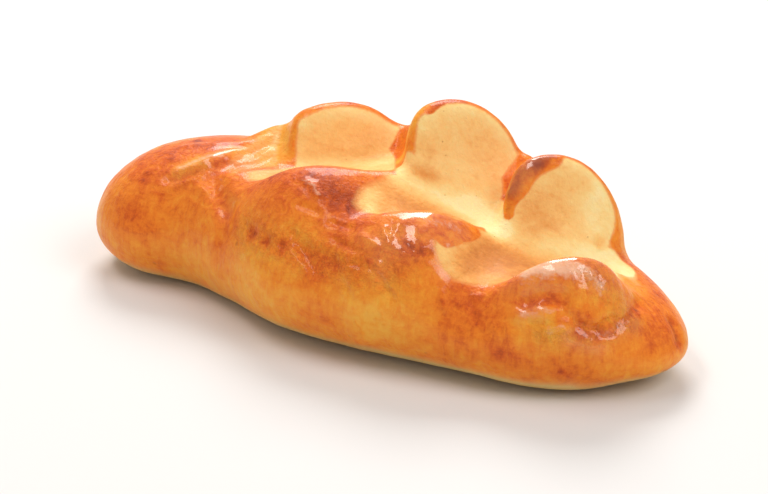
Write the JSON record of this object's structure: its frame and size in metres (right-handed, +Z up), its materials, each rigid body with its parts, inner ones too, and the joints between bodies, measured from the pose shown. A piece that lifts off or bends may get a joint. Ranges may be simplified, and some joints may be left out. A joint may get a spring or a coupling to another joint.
{
  "type": "brioche bun",
  "caption": "Long glazed brioche bun, blunt at one end and tapering at the other, snipped along the top into raised rounded lobes with pale open faces.",
  "frame": {"origin": "middle of the bun's bounding box, on the flat underside", "axes": "+X along the bun from its blunt end to its narrow end, +Y from the front flank to the raised lobes, +Z up"},
  "size_m": [0.1574, 0.069, 0.0501],
  "materials": {
    "crust": "egg-washed baked crust, glossy, with pale matt faces where the dough was snipped"
  },
  "bodies": {
    "root": {"bun": "crust"}
  },
  "joints": []
}
